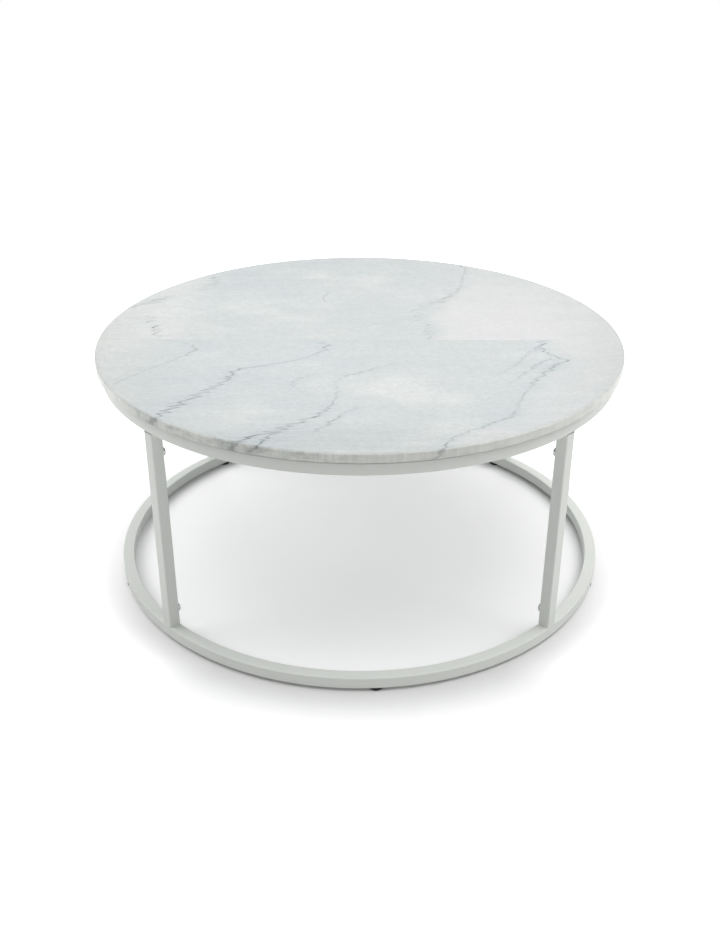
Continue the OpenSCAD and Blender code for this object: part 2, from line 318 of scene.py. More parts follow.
def ready(piece, body, slot, *nodes):
    """Attaches a finished piece to the body that it moves with and hides the CAD nodes that it stands for.
    Its slot is not used.
    """
    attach(piece, body)
    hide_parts(*nodes)


def cone(shape, sides, low_radius, high_radius, depth, centre):
    """Adds an upright closed cone to a bmesh, or a rod if its radii are equal."""
    sizes = {"segments": sides, "radius1": low_radius, "radius2": high_radius, "depth": depth}
    bmesh.ops.create_cone(shape, cap_ends=True, matrix=Matrix.Translation(centre), **sizes)


def insert_holes():
    """The blind holes in the underside, as one object to cut with."""
    holes = bmesh.new()
    for bearing in insert_bearings:
        centre = point_at(bearing, insert_radius, under_z)
        cone(holes, round_sides, insert_hole, insert_hole, 2 * insert_depth, centre)
    return mesh_piece("insert_holes", holes)


def slab(name, kept_side, holes):
    """The part of the disc behind the seam, where kept_side is 1, or in front of it, where it is -1."""
    flat = top_radius - 2 * upper_round
    profile = [(flat, under_z)]
    profile += corner(top_radius - lower_round, under_z + lower_round, lower_round, -90, 0, round_steps // 2)
    profile += corner(top_radius - upper_round, top_z - upper_round, upper_round, 0, 90, round_steps)
    profile += [(flat, top_z)]
    shape = turned(profile, rim_steps)
    geometry = shape.verts[:] + shape.edges[:] + shape.faces[:]
    seam = {"plane_co": (0, seam_y, 0), "plane_no": (0, -kept_side, 0)}
    cut = bmesh.ops.bisect_plane(shape, geom=geometry, dist=cut_gap, clear_outer=True, **seam)
    edges = [part for part in cut["geom_cut"] if isinstance(part, bmesh.types.BMEdge)]
    bmesh.ops.contextual_create(shape, geom=edges)
    bmesh.ops.bevel(shape, geom=edges, offset=arris, segments=2, profile=0.5, affect="EDGES")
    bmesh.ops.recalc_face_normals(shape, faces=shape.faces[:])
    piece = mesh_piece(name, shape)
    cutter = piece.modifiers.new("insert_holes", "BOOLEAN")
    cutter.operation, cutter.object, cutter.solver = "DIFFERENCE", holes, "EXACT"
    piece.modifiers.new("flat_faces", "WEIGHTED_NORMAL").weight = 100
    return solid_mesh(piece)


def srgb(red, green, blue):
    """A colour as it looks, from 0 to 255, as the shader's linear light."""
    parts = [c / 255 for c in (red, green, blue)]
    return tuple(c / 12.92 if c <= 0.04045 else ((c + 0.055) / 1.055) ** 2.4 for c in parts) + (1,)


def speckle(place, patches, seed, detail=3, harshness=0.55):
    """Noise about 0, mostly within 1, with so many patches in a metre along each axis."""
    shift = {"Vector": place, "Scale": patches, "Location": (seed, 1.7 * seed, 0.6 * seed)}
    spot = place.node("ShaderNodeMapping", (), shift)
    sizes = {"Vector": spot, "Scale": 1.0, "Detail": detail, "Roughness": harshness}
    return (place.node("ShaderNodeTexNoise", (), sizes) - 0.5) * 4


def lit(colour, value):
    """A colour made lighter or darker by a value about 1."""
    return value.node("ShaderNodeHueSaturation", (), {"Color": colour, "Value": value})


def dented(height, strength, depth):
    """The normal of a surface with these dents, which are so strong and so many metres deep."""
    return height.node("ShaderNodeBump", (), {"Strength": strength, "Distance": depth, "Height": height})


def finished(material, surface):
    """Ends a material's tree in a shader with this surface."""
    shader = Wire(material.node_tree).node("ShaderNodeBsdfPrincipled", (), surface)
    shader.node("ShaderNodeOutputMaterial", (), {"Surface": shader})
    return material


marble_field = srgb(180, 185, 185)
marble_pale = srgb(195, 196, 195)
marble_cool = srgb(172, 183, 187)
marble_warm = srgb(203, 205, 201)
# Painted light: the lighter colour that the marble's rim is drawn towards
marble_rim_painted_light = srgb(228, 230, 224)
marble_vein = srgb(88, 98, 100)

# The edge of each slab's paler part, as the (x, y) points that it runs through
rear_shore = [(0.215, 0.410), (0.215, 0.365), (0.202, 0.305), (0.195, 0.250), (0.155, 0.175), (0.135, 0.130),
              (0.130, 0.060), (0.135, 0.010), (0.125, -0.030)]
front_shore = [(0.320, -0.020), (0.315, -0.070), (0.345, -0.117), (0.315, -0.150), (0.285, -0.190),
               (0.250, -0.260), (0.238, -0.310), (0.180, -0.365), (0.130, -0.405), (0.115, -0.450)]

# The veins: each point has x, y, how dark the vein is there, and how far it is broken into slanted dashes
rear_veins = [
    [(0.205, 0.405, 0.9, 0.8), (0.212, 0.385, 0.8, 0.6), (0.215, 0.360, 0.35, 0.1),
     (0.204, 0.310, 0.35, 0.1), (0.196, 0.255, 0.35, 0.3), (0.182, 0.222, 0.5, 0.7),
     (0.160, 0.188, 0.9, 1.0), (0.145, 0.165, 0.9, 1.0), (0.118, 0.145, 0.3, 0.8), (0.108, 0.090, 0.5, 0.9),
     (0.115, 0.055, 0.3, 0.9), (0.120, 0.015, 0.5, 0.8), (0.120, -0.030, 0.2, 0.8)],
    [(-0.298, 0.325, 0.5, 1.0), (-0.285, 0.295, 0.9, 1.0), (-0.290, 0.268, 0.8, 1.0),
     (-0.300, 0.240, 0.7, 1.0), (-0.320, 0.218, 0.2, 0.5), (-0.355, 0.200, 0.25, 0.5),
     (-0.375, 0.185, 0.6, 0.9), (-0.385, 0.165, 0.9, 0.9), (-0.412, 0.148, 0.7, 0.8),
     (-0.425, 0.130, 0.3, 0.8)],
    [(-0.382, 0.090, 0.4, 0.9), (-0.374, 0.062, 0.5, 1.0), (-0.366, 0.044, 0.9, 1.0),
     (-0.354, 0.012, 0.9, 1.0), (-0.350, -0.006, 0.4, 0.9)],
    [(-0.055, 0.230, 0.15, 0.2), (-0.068, 0.195, 0.35, 0.3), (-0.062, 0.165, 0.25, 0.2)],
]
front_veins = [
    [(0.315, -0.022, 0.5, 0.2), (0.308, -0.048, 0.8, 0.6), (0.305, -0.066, 0.8, 0.5),
     (0.318, -0.095, 0.6, 0.3), (0.338, -0.117, 0.85, 0.8), (0.322, -0.132, 0.6, 0.6),
     (0.308, -0.152, 0.8, 0.7), (0.292, -0.175, 0.5, 0.5), (0.278, -0.198, 0.6, 0.6),
     (0.262, -0.230, 0.35, 0.5), (0.245, -0.268, 0.4, 0.4), (0.236, -0.300, 0.2, 0.4),
     (0.218, -0.332, 0.6, 0.6), (0.182, -0.362, 0.6, 0.3), (0.150, -0.385, 0.4, 0.3),
     (0.128, -0.408, 0.6, 0.4), (0.113, -0.450, 0.8, 0.0)],
    [(0.300, -0.058, 0.25, 0.3), (0.275, -0.095, 0.35, 0.4), (0.258, -0.130, 0.3, 0.4),
     (0.225, -0.172, 0.15, 0.4)],
    [(0.318, -0.108, 0.3, 0.3), (0.290, -0.132, 0.4, 0.4), (0.268, -0.165, 0.35, 0.4),
     (0.232, -0.215, 0.15, 0.4)],
    [(-0.325, -0.032, 0.2, 0.1), (-0.290, -0.045, 0.4, 0.5), (-0.277, -0.066, 0.6, 0.6),
     (-0.283, -0.090, 0.5, 0.4), (-0.302, -0.114, 0.35, 0.1), (-0.330, -0.145, 0.3, 0.1),
     (-0.352, -0.172, 0.35, 0.1), (-0.382, -0.215, 0.12, 0.1)],
    [(-0.076, -0.030, 0.7, 0.7), (-0.058, -0.046, 0.9, 0.9), (-0.056, -0.064, 0.7, 0.8),
     (-0.066, -0.082, 0.45, 0.2), (-0.085, -0.102, 0.45, 0.0), (-0.120, -0.125, 0.55, 0.0),
     (-0.160, -0.142, 0.6, 0.1), (-0.196, -0.158, 0.8, 0.4), (-0.205, -0.180, 1.0, 0.7),
     (-0.212, -0.206, 0.9, 0.7), (-0.232, -0.236, 0.8, 0.8), (-0.250, -0.262, 0.9, 0.8),
     (-0.266, -0.286, 1.0, 0.8), (-0.284, -0.312, 1.0, 0.7), (-0.296, -0.334, 0.9, 0.5),
     (-0.300, -0.365, 0.9, 0.0)],
    [(0.060, -0.128, 0.12, 0.2), (0.020, -0.155, 0.3, 0.3), (-0.016, -0.180, 0.4, 0.5),
     (-0.036, -0.202, 0.3, 0.4), (-0.034, -0.240, 0.35, 0.3), (-0.042, -0.290, 0.45, 0.3),
     (-0.060, -0.325, 0.65, 0.8), (-0.090, -0.352, 0.7, 0.9), (-0.122, -0.380, 0.85, 0.9),
     (-0.155, -0.402, 0.9, 0.7), (-0.190, -0.435, 0.8, 0.0)],
    [(-0.108, -0.376, 0.5, 0.6), (-0.128, -0.398, 0.8, 0.6), (-0.146, -0.440, 0.9, 0.0)],
    [(-0.004, -0.303, 0.5, 0.3), (-0.025, -0.325, 0.35, 0.3), (-0.040, -0.350, 0.55, 0.5),
     (-0.062, -0.378, 0.4, 0.3)],
    [(-0.070, -0.172, 0.10, 0.3), (-0.098, -0.200, 0.3, 0.4), (-0.108, -0.230, 0.15, 0.3)],
]
pale_heart = (0.26, 0.05, 0.0)
vein_half_width, vein_widest, rim_widening, vein_lean = 0.0017, 0.02, 2.4, 0.8
wobble_reach, rim_wobble = 0.0035, 0.0025
blur_widths, blur_depth, halo_widths = 4.0, 0.14, 12.0
dash_length, dash_reach, dash_share, bed_slant = 0.0165, 0.024, 0.7, 5

# How much of each tone goes in, and how far each scale of the stone's figure lightens and darkens it. The
# rim's lighter tone is painted light.
cool_share, grey_share, warm_share, mottle_share, rim_light_share = 0.6, 0.2, 0.6, 0.45, 0.9
rim_patch_depth, left_rim_patch_depth, front_shade = 0.14, 0.38, 0.13
streak_depth, cloud_depth, mottle_depth, crystal_depth, grain_depth = 0.024, 0.030, 0.060, 0.050, 0.13


def along(y, route, least, most):
    """The value of a route of (value, y) points at each y, by a curve through its points."""
    spots = [((py + top_radius) / (2 * top_radius), (value - least) / (most - least)) for value, py in route]
    share = (y + top_radius) / (2 * top_radius)
    return y.node("ShaderNodeFloatCurve", {"curve": spots}, {"Value": share}) * (most - least) + least


def widths(vein):
    """A vein's half width along X at each of its points, which is more where it lies along X."""
    ends = zip([vein[0]] + vein[:-1], vein, vein[1:] + [vein[-1]])
    slopes = [(a[0] - b[0]) / (a[1] - b[1]) + here[3] * dash_reach / dash_length for a, here, b in ends]
    return [(vein_half_width * hypot(1, slope), here[1]) for slope, here in zip(slopes, vein)]


def vein_masks(place, rim, veins, seed):
    """The veins, and the cooler stone near them. In each thin bed of the stone a vein runs as a slanted
    dash, and a fainter one leads back to the next."""
    axes = place.node("ShaderNodeSeparateXYZ", (), {0: place})
    x, y = axes["X"], axes["Y"]
    plan = place.node("ShaderNodeCombineXYZ", (), {0: x, 1: y})
    beds = y * (1 / dash_length) + x * bed_slant + speckle(plan, (7, 22, 1), seed, 2) * 1.1
    bed = beds.maths("FRACT", beds)
    back = bed.step(dash_share - 0.04, dash_share + 0.04)
    dash = (1 - back).most(rim)
    zigzag = (bed / dash_share).least((1 - bed) / (1 - dash_share)) - 0.5
    swing = 0.35 + speckle(plan, (5, 16, 1), seed + 5, 2).step(-1.0, 1.0) * 0.95
    aside = zigzag * swing * (1 - rim) * dash_reach
    lean = (top_z - axes["Z"]) * vein_lean
    wobble = speckle(place, (26, 60, 130), seed + 3, 3, 0.65) * (wobble_reach + rim * rim_wobble)
    broken = speckle(place, (34, 90, 150), seed + 7, 3, 0.65).step(-0.8, 0.7)

    lines, halos = [], []
    for vein in veins:
        centre = along(y, [(px, py) for px, py, _, _ in vein], -1, 1)
        depth = along(y, [(dark, py) for _, py, dark, _ in vein], 0, 1)
        broken_up = along(y, [(gaps, py) for _, py, _, gaps in vein], 0, 1)
        half = along(y, widths(vein), 0, vein_widest) * (1 + rim * rim_widening) * (1 + back * broken_up)
        apart = abs(x + lean + wobble - centre - aside * broken_up) / half
        last, first = vein[0][1], vein[-1][1]
        ends = y.step(first - 0.010, first + 0.004) * y.step(last + 0.010, last - 0.004) * depth
        line = apart.step(1.0, 0.1 - rim * 0.4) * (1 - broken_up ** 3 * (1 - dash))
        line = line * (0.3 + broken * 0.7) * ends
        lines.append(line + apart.step(blur_widths, 0.0) * ends * blur_depth)
        halos.append(apart.step(halo_widths, 1.0) * ends)
    return reduce(Wire.most, lines), reduce(Wire.most, halos)


def marble(name, seed, shore, veins, far_left, haze, grey_heart):
    """Polished marble with cool clouds, streaks along X, its own veins, and a paler part right of a shore."""
    material, place = new_material(name)
    axes = place.node("ShaderNodeSeparateXYZ", (), {0: place})
    x, y = axes["X"], axes["Y"]
    plan = place.node("ShaderNodeCombineXYZ", (), {0: x, 1: y})
    rim = plan.distance().step(top_radius - upper_round, top_radius - upper_round / 10)
    lines, near = vein_masks(place, rim, veins, seed)

    bay = x + speckle(plan, (9, 22, 1), seed + 11, 4, 0.65) * 0.022 - along(y, shore, -1, 1)
    pale = bay.step(-0.020, 0.030).most(bay.step(-0.16, 0.0) * (0.32 - haze * 0.3))
    pale = pale * (1 - plan.distance(pale_heart).step(0.06, 0.34) * 0.55)
    streaks = speckle(plan, (2.6, 34, 1), seed + 13, 4, 0.65)
    clouds = speckle(plan, (7, 10, 7), seed + 17, 4, 0.6)
    mottle = speckle(plan, (34, 56, 1), seed + 21, 4, 0.7)
    patches = speckle(plan, (5, 7, 1), seed + 19, 2)
    crystals = speckle(place, (420, 420, 420), seed + 23, 2, 0.7)
    grain = speckle(plan, (120, 170, 1), seed + 31, 4, 0.8)

    cool = (clouds * 0.6 + streaks * 0.6).step(-0.4, 1.2) * (1 - pale * 0.8)
    grey = plan.distance(grey_heart).step(0.26, 0.08)
    left = x.step(far_left + 0.09, far_left - 0.03)
    warm = (patches.step(0.0, 1.0) * (1 - pale)).most(left)
    body = pale.mix(marble_field, marble_pale)
    body = (cool * cool_share).mix(body, marble_cool)
    body = (grey * grey_share).mix(body, marble_cool)
    body = (warm * warm_share).mix(body, marble_warm)
    body = (near * (0.4 + streaks.step(-0.2, 0.8) * 0.6) * haze).mix(body, marble_cool)
    body = (mottle.step(0.1, 1.3) * (1 - pale) * mottle_share).mix(body, marble_warm)
    # Painted light: the rim is drawn most of the way to a lighter colour
    body = (rim * rim_light_share).mix(body, marble_rim_painted_light)

    # Dark patches on the rim, all round and strongest at the front left
    rim_patches = speckle(place, (30, 30, 80), seed + 29, 5, 0.7).step(-0.6, 1.0)
    rim_patches = rim_patches * (rim_patch_depth + x.step(0.05, -0.15) * x.step(-0.42, -0.30) * left_rim_patch_depth)
    # Painted shade: the front of the top, inside the rim, darkened towards the vein colour
    front = y.step(-0.33, -0.42) * (0.5 + streaks.step(-0.5, 0.9)) * (1 - rim) * front_shade
    dark = lines * (1 - rim * 0.3) + rim * rim_patches + front
    stone = dark.least(1.0).mix(body, marble_vein)
    calm = 1 - pale * 0.55
    value = 1 - streaks * calm * streak_depth - clouds * calm * cloud_depth - mottle * calm * mottle_depth
    value = value + crystals * crystal_depth + grain * (1 - pale * 0.4) * grain_depth
    return finished(material, {
        "Base Color": lit(stone, value),
        "Roughness": 0.36 + crystals * 0.03 + lines * 0.08,
        "Normal": dented(crystals * 0.25 - lines, 0.12, 0.0004),
    })


slab_holes = insert_holes()
rear_stone = marble("rear_marble", 3.0, rear_shore, rear_veins, -0.33, 0.1, (-0.25, 0.24, 0))
front_stone = marble("front_marble", 41.0, front_shore, front_veins, -0.40, 0.75, (-0.14, -0.12, 0))
for slab_name, kept_side, stone, slab_node in (
    ("rear_slab", 1, rear_stone, "marble_rear_slab"),
    ("front_slab", -1, front_stone, "marble_front_slab"),
):
    sawn = slab(slab_name, kept_side, slab_holes)
    paint(sawn, stone)
    ready(sawn, "frame", "marble", slab_node)
bpy.data.objects.remove(slab_holes)


# The rings: 20 mm square tube with a 1.5 mm wall, rolled to a circle, butt welded and ground flush. The
# lower one is drilled from below for the nuts of the five feet.
ring_low, ring_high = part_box("top_ring")
tube_side = ring_high.z - ring_low.z
tube_corner, tube_wall = 0.002, 0.0015
ring_radius = ring_high.x - tube_side / 2
ring_steps, corner_steps, drill_sides = 512, 6, 32
merge_gap = 1e-6
foot_bearings = {"front": 3.5, "right": 70, "left": -70, "rear_right": 137, "rear_left": -137}
nut_hole = 0.0056
coat_colour = srgb(233, 236, 231)


def powder_coat():
    """Baked off-white powder: satin, with a fine orange peel and a trace of uneven thickness."""
    material, place = new_material("powder_coat")
    peel = speckle(place, (900, 900, 900), 5, 2, 0.5)
    drift = speckle(place, (18, 18, 18), 9, 3)
    return finished(material, {
        "Base Color": lit(coat_colour, 1 + drift * 0.008),
        "Roughness": 0.44 + drift * 0.03,
        "Normal": dented(peel, 0.25, 0.0001),
    })


def sized_tree(name, sizes):
    """A Geometry Nodes tree with these sizes as its named inputs. The wire is its input node's."""
    tree = bpy.data.node_groups.new(name, "GeometryNodeTree")
    for size, value in sizes.items():
        kind = "Object" if isinstance(value, bpy.types.Object) else type(value).__name__.title()
        tree.interface.new_socket(size, in_out="INPUT", socket_type="NodeSocket" + kind)
    tree.interface.new_socket("Geometry", in_out="OUTPUT", socket_type="NodeSocketGeometry")
    return Wire(tree).node("NodeGroupInput")


def finish_tree(shape, material):
    """Ends a tree in real, smooth faces of one material."""
    real = shape.node("GeometryNodeRealizeInstances", (), {"Geometry": shape})
    smooth = real.node("GeometryNodeSetShadeSmooth", (), {"Geometry": real})
    dressed = smooth.node("GeometryNodeSetMaterial", (), {"Geometry": smooth, "Material": material})
    dressed.node("NodeGroupOutput", (), {"Geometry": dressed})
    return shape.tree


def piece_from(name, tree, sizes):
    """Runs a tree with these sizes and keeps the plain mesh that it makes."""
    piece = bpy.data.objects.new(name, bpy.data.meshes.new(name))
    stage_scene.collection.objects.link(piece)
    shape = piece.modifiers.new("shape", "NODES")
    shape.node_group = tree
    for socket in tree.interface.items_tree:
        if socket.in_out == "INPUT":
            shape[socket.identifier] = sizes[socket.name]
    piece.modifiers.new("flat_faces", "WEIGHTED_NORMAL").weight = 100
    return one_finish(solid_mesh(piece))


def one_finish(piece):
    """Leaves a piece with its one material, and no empty slots."""
    paint(piece, next(material for material in piece.data.materials if material))
    for face in piece.data.polygons:
        face.material_index = 0
    return piece


def section(given, inset):
    """The outline of the square tube, drawn in by so many walls."""
    side = given["Side"] - given["Wall"] * (2 * inset)
    square = given.node("GeometryNodeCurvePrimitiveQuadrilateral", (), {"Width": side, "Height": side})
    sizes = {"Curve": square, "Count": corner_steps, "Radius": given["Corner"] - given["Wall"] * inset}
    return square.node("GeometryNodeFilletCurve", {"mode": "POLY"}, sizes)


def drill(given, place, turn, size, depth):
    """A cylinder to drill with, centred on a place."""
    sizes = {"Vertices": drill_sides, "Radius": size, "Depth": depth}
    rod = given.node("GeometryNodeMeshCylinder", (), sizes)
    return rod.node("GeometryNodeTransform", (), {"Geometry": rod, "Translation": place, "Rotation": turn})


def cut_away(solid, tools):
    """The solid less the tools."""
    return solid.node("GeometryNodeMeshBoolean", {"operation": "DIFFERENCE", "solver": "EXACT"},
                      {"Mesh 1": solid, "Mesh 2": tools})


def ring_tree(name, sizes, drilled):
    """A ring of square tube, outside and bore, drilled from below at these bearings."""
    given = sized_tree(name, sizes)
    circle = {"Resolution": given["Steps"], "Radius": given["Radius"]}
    path = given.node("GeometryNodeCurvePrimitiveCircle", (), circle)
    outside = path.node("GeometryNodeCurveToMesh", (), {0: path, 1: section(given, 0)})
    bore = path.node("GeometryNodeCurveToMesh", (), {0: path, 1: section(given, 1)})
    bore = bore.node("GeometryNodeFlipFaces", (), {"Mesh": bore})
    shape = path.node("GeometryNodeJoinGeometry", (), {"Geometry": [outside, bore]})
    rise = shape.node("ShaderNodeCombineXYZ", (), {2: given["Height"]})
    shape = shape.node("GeometryNodeTransform", (), {"Geometry": shape, "Translation": rise})
    if drilled:
        under = [point_at(bearing, ring_radius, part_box("bottom_ring")[0].z) for bearing in drilled]
        shape = cut_away(shape, [drill(given, spot, (0, 0, 0), nut_hole, 4 * tube_wall) for spot in under])
    return finish_tree(shape, coat)


coat = powder_coat()
for ring_name, ring_node, drilled in (
    ("upper_ring", "top_ring", ()),
    ("lower_ring", "bottom_ring", foot_bearings.values()),
):
    ring_middle = (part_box(ring_node)[0].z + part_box(ring_node)[1].z) / 2
    ring_sizes = {"Radius": ring_radius, "Side": tube_side, "Corner": tube_corner, "Wall": tube_wall,
                  "Height": ring_middle, "Steps": ring_steps}
    rolled = piece_from(ring_name, ring_tree(ring_name, ring_sizes, drilled), ring_sizes)
    ready(rolled, "frame", "powder_coat", ring_node)


# The legs: four straight lengths of the same tube, cut square and slipped over spigots on the rings. Each
# has a bolt hole near either end of its inner wall, and stops a hair short of the upper ring.
leg_bearings = {"leg_front_right": 46, "leg_rear_right": 134, "leg_rear_left": -134, "leg_front_left": -46}
joint_gap = 0.0006
leg_foot, leg_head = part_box("leg_front_left")[0].z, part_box("leg_front_left")[1].z - joint_gap
bolt_z = {"lower": 0.052, "upper": 0.342}
bolt_hole = 0.0043


def leg_tree(sizes):
    """A straight square tube at a bearing on the rings, with two bolt holes in its inner wall."""
    given = sized_tree("leg_tube", sizes)
    walls = given.node("GeometryNodeJoinGeometry", (), {"Geometry": [section(given, 0), section(given, 1)]})
    flat = walls.node("GeometryNodeFillCurve", {"mode": "TRIANGLES"}, {"Curve": walls})
    grown = {"Mesh": flat, "Offset": (0, 0, 1), "Offset Scale": given["Length"], "Individual": False}
    sides = flat.node("GeometryNodeExtrudeMesh", (), grown)
    foot = flat.node("GeometryNodeFlipFaces", (), {"Mesh": flat})
    tube = sides.node("GeometryNodeJoinGeometry", (), {"Geometry": [sides, foot]})
    tube = tube.node("GeometryNodeMergeByDistance", (), {"Geometry": tube, "Distance": merge_gap})
    rods = []
    for height in ("Lower bolt", "Upper bolt"):
        place = tube.node("ShaderNodeCombineXYZ", (), {0: given["Side"] * -0.5, 2: given[height]})
        rods.append(drill(given, place, (0, pi / 2, 0), bolt_hole, 6 * tube_wall))
    tube = cut_away(tube, rods)
    outward = tube.node("ShaderNodeCombineXYZ", (), {0: given["Radius"], 2: given["Foot"]})
    tube = tube.node("GeometryNodeTransform", (), {"Geometry": tube, "Translation": outward})
    turn = tube.node("ShaderNodeCombineXYZ", (), {2: given["Turn"]})
    tube = tube.node("GeometryNodeTransform", (), {"Geometry": tube, "Rotation": turn})
    return finish_tree(tube, coat)


leg_sizes = {"Side": tube_side, "Corner": tube_corner, "Wall": tube_wall, "Radius": ring_radius,
             "Foot": leg_foot, "Length": leg_head - leg_foot, "Turn": 0.0,
             "Lower bolt": bolt_z["lower"] - leg_foot, "Upper bolt": bolt_z["upper"] - leg_foot}
leg_shape = leg_tree(leg_sizes)
for leg_node, bearing in leg_bearings.items():
    leg_sizes["Turn"] = radians(bearing - 90)
    ready(piece_from(leg_node + "_tube", leg_shape, leg_sizes), "frame", "powder_coat", leg_node)


# What is welded to the rings: the rail under the joint of the slabs, the flat tabs that hold the marble,
# and inside each leg's ends a spigot with a nut on it. The welds that show, of the rail and the tabs, are
# rippled beads that are coated with the rest.
rail_y = (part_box("cross_rail")[0].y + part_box("cross_rail")[1].y) / 2
tab_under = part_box("fixing_tabs")[0].z
ring_inside = ring_radius - tube_side / 2
bead_size, bead_ripple, bead_wave = 0.0016, 0.16, 0.0019
bead_sides, spots_in_a_wave, seam_steps = 12, 7, 4
tab_half_width = 0.0115


def dress(material, slot, *nodes):
    """Gives CAD nodes this material."""
    for node in nodes:
        paint(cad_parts[node], material)


def weld_seams():
    """The seams of all the beads: round three sides of each end of the rail, and along under each tab."""
    seams = bmesh.new()
    half = tube_side / 2 - tube_corner
    low, top = ring_low.z, ring_high.z - tube_corner
    for side in (-1, 1):
        path = [(rail_y - tube_side / 2, top)]
        path += corner(rail_y - half, low + tube_corner, tube_corner, 180, 270, seam_steps)
        path += corner(rail_y + half, low + tube_corner, tube_corner, 270, 360, seam_steps)
        path += [(rail_y + tube_side / 2, top)]
        points = [(side * (ring_inside ** 2 - y * y) ** 0.5, y, z) for y, z in path]
        spots = [seams.verts.new(point) for point in points]
        for pair in zip(spots, spots[1:]):
            seams.edges.new(pair)
    for bearing in insert_bearings:
        outward, across = point_at(bearing, 1), point_at(bearing + 90, 1)
        ends = [outward * ring_inside + across * side * tab_half_width for side in (-1, 1)]
        spots = [seams.verts.new((end.x, end.y, tab_under)) for end in ends]
        seams.edges.new(spots)
    return mesh_piece("weld_seams", seams)


def bead_tree(seams):
    """A rippled bead of weld metal along every seam."""
    given = sized_tree("weld_beads", {"Seams": seams, "Size": 1.0, "Ripple": 1.0, "Wave": 1.0})
    source = given.node("GeometryNodeObjectInfo", (), {"Object": given["Seams"]})["Geometry"]
    path = source.node("GeometryNodeMeshToCurve", (), {"Mesh": source})
    spacing = {"Curve": path, "Length": given["Wave"] / spots_in_a_wave}
    path = path.node("GeometryNodeResampleCurve", {"mode": "LENGTH"}, spacing)
    gone = path.node("GeometryNodeSplineParameter")["Length"]
    wave = path.maths("SINE", gone * tau / given["Wave"])
    ends = path.node("GeometryNodeSplineParameter")["Factor"]
    taper = (0.5 - abs(ends - 0.5)).step(-0.02, 0.05)
    radius = given["Size"] * taper * (1 + wave * given["Ripple"])
    round_wire = path.node("GeometryNodeCurvePrimitiveCircle", (), {"Resolution": bead_sides, "Radius": 1.0})
    bead = {0: path, 1: round_wire, "Scale": radius, "Fill Caps": True}
    return finish_tree(path.node("GeometryNodeCurveToMesh", (), bead), coat)


seams = weld_seams()
beads = piece_from("weld_beads", bead_tree(seams),
                   {"Seams": seams, "Size": bead_size, "Ripple": bead_ripple, "Wave": bead_wave})
bpy.data.objects.remove(seams)
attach(beads, "frame")
dress(coat, "powder_coat", "cross_rail", "fixing_tabs", "upper_spigots", "lower_spigots")


# The leg bolts: eight plated M8 button heads with a 5 mm hex socket, one through each leg's inner wall near
# either end. A flat washer and a split spring washer lie under each head.
head_radius, head_rim, head_height = 0.007, 0.0011, 0.0044
head_seat, head_edge, dome_steps = 0.0036, 0.0002, 10
bolt_thread, bolt_reach, bolt_pitch, bolt_sunk = 0.004, 0.016, 0.00125, 0.0005
socket_across, socket_depth, socket_mouth = 0.005, 0.0026, 0.0031
thread_columns, rows_in_a_turn, depth_in_pitches, row_gap = 40, 10, 0.61, 1e-5
zinc_colour = srgb(188, 191, 192)


def brushed(name, colour, roughness, seed):
    """A plated metal with a fine grain and faint clouds in its shine."""
    material, place = new_material(name)
    grains = speckle(place, (2600, 2600, 2600), seed, 2)
    clouds = speckle(place, (260, 260, 260), seed + 1, 3)
    return finished(material, {
        "Base Color": lit(colour, 1 + clouds * 0.05),
        "Metallic": 1.0,
        "Roughness": roughness + clouds * 0.05,
        "Normal": dented(grains, 0.2, 0.00005),
    })


def thread_tree(name, sizes, material):
    """A rod with a right-hand thread on it, closed at both ends and chamfered at its upper one."""
    given = sized_tree(name, sizes)
    grid = {"Size X": 1.0, "Size Y": 1.0, "Vertices X": given["Columns"], "Vertices Y": given["Rows"]}
    sheet = given.node("GeometryNodeMeshGrid", (), grid)
    spot = sheet.node("ShaderNodeSeparateXYZ", (), {0: sheet.node("GeometryNodeInputPosition")})
    turn, rise = spot["X"] + 0.5, spot["Y"] + 0.5
    climb = rise * (given["High"] - given["Low"])
    phase = climb / given["Pitch"] - turn
    flank = abs(phase.maths("FRACT", phase) - 0.5) * 2
    groove = (flank * 1.3 - 0.15).most(0.0).least(1.0)
    left = given["High"] - given["Low"] - climb
    chamfer = given["Radius"] - given["Depth"] + left
    radius = (given["Radius"] - groove * given["Depth"]).least(chamfer)
    inside = rise.maths("GREATER_THAN", rise, row_gap) * rise.maths("LESS_THAN", rise, 1 - row_gap)
    angle, spread = turn * tau, radius * inside
    round_x, round_y = (angle.maths(part, angle) * spread for part in ("COSINE", "SINE"))
    place = turn.node("ShaderNodeCombineXYZ", (), {0: round_x, 1: round_y, 2: climb + given["Low"]})
    rod = turn.node("GeometryNodeSetPosition", (), {"Geometry": sheet, "Position": place})
    rod = rod.node("GeometryNodeMergeByDistance", (), {"Geometry": rod, "Distance": merge_gap})
    shift = rod.node("ShaderNodeCombineXYZ", (), {0: given["X"], 1: given["Y"]})
    rod = rod.node("GeometryNodeTransform", (), {"Geometry": rod, "Translation": shift})
    return finish_tree(rod, material)


def threaded_rod(name, radius, pitch, low, high, material, x=0.0, y=0.0):
    """A threaded rod of this radius and pitch between two heights."""
    rows = int((high - low) / pitch * rows_in_a_turn)
    sizes = {"Radius": radius, "Depth": depth_in_pitches * pitch, "Pitch": pitch, "Low": low, "High": high,
             "Columns": thread_columns + 1, "Rows": rows, "X": x, "Y": y}
    return piece_from(name, thread_tree(name, sizes, material), sizes)


def made_one(pieces, name):
    """Joins pieces of one finish to one plain mesh."""
    whole = bmesh.new()
    for piece in pieces:
        whole.from_mesh(piece.data)
    finish = pieces[0].data.materials[0]
    for piece in pieces:
        bpy.data.objects.remove(piece)
    joined = mesh_piece(name, whole)
    paint(joined, finish)
    return joined


